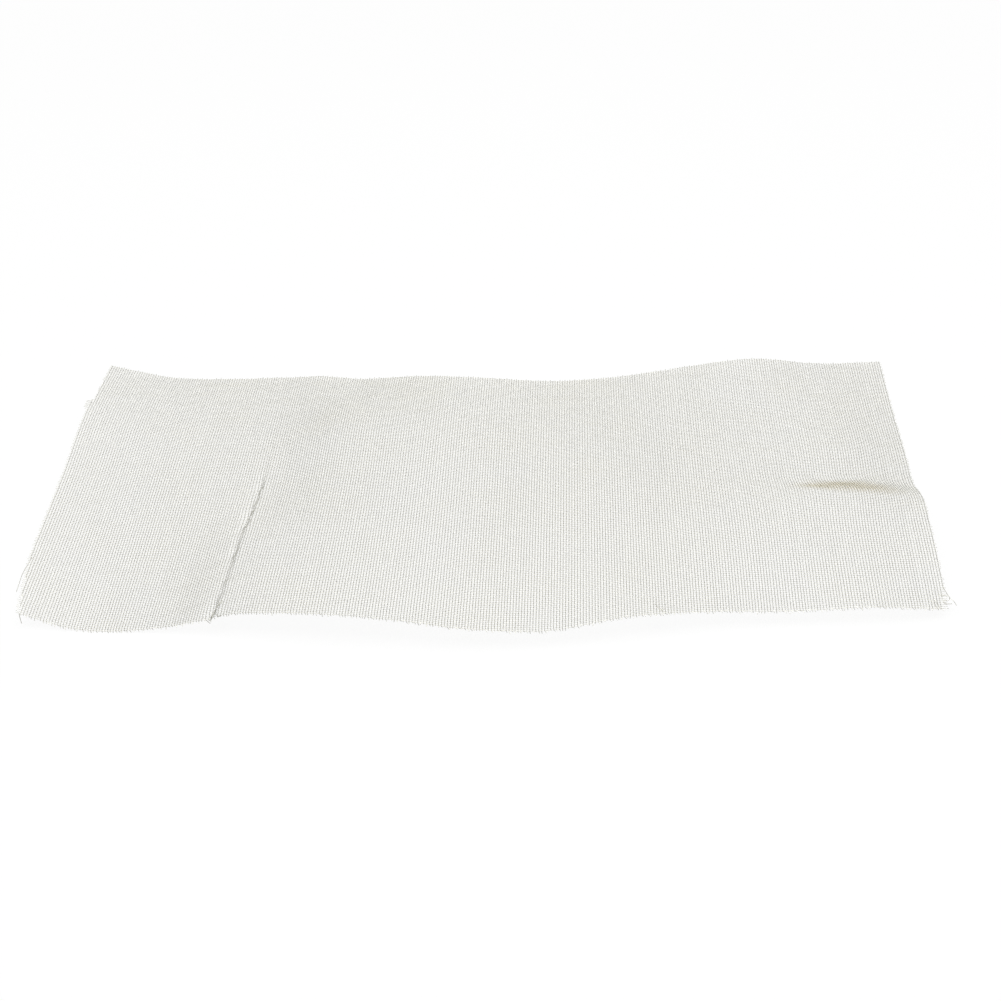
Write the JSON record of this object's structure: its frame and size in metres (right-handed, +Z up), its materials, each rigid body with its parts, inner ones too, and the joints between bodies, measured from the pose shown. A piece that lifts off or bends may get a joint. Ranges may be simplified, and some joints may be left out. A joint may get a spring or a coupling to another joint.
{
  "type": "wire gauze",
  "caption": "Loose cut sheet of plain woven metal wire gauze, twice as long as it is deep, gently rippled, with an old fold line near each end.",
  "frame": {"origin": "on the bench, under the middle of the sheet's outline", "axes": "+X along the long side to the right, +Y from the front edge to the rear edge, +Z up"},
  "size_m": [0.198, 0.1084, 0.0072],
  "materials": {
    "gauze_wire": "bright drawn wire, plain weave"
  },
  "bodies": {
    "root": {"gauze_sheet": "gauze_wire"}
  },
  "joints": []
}
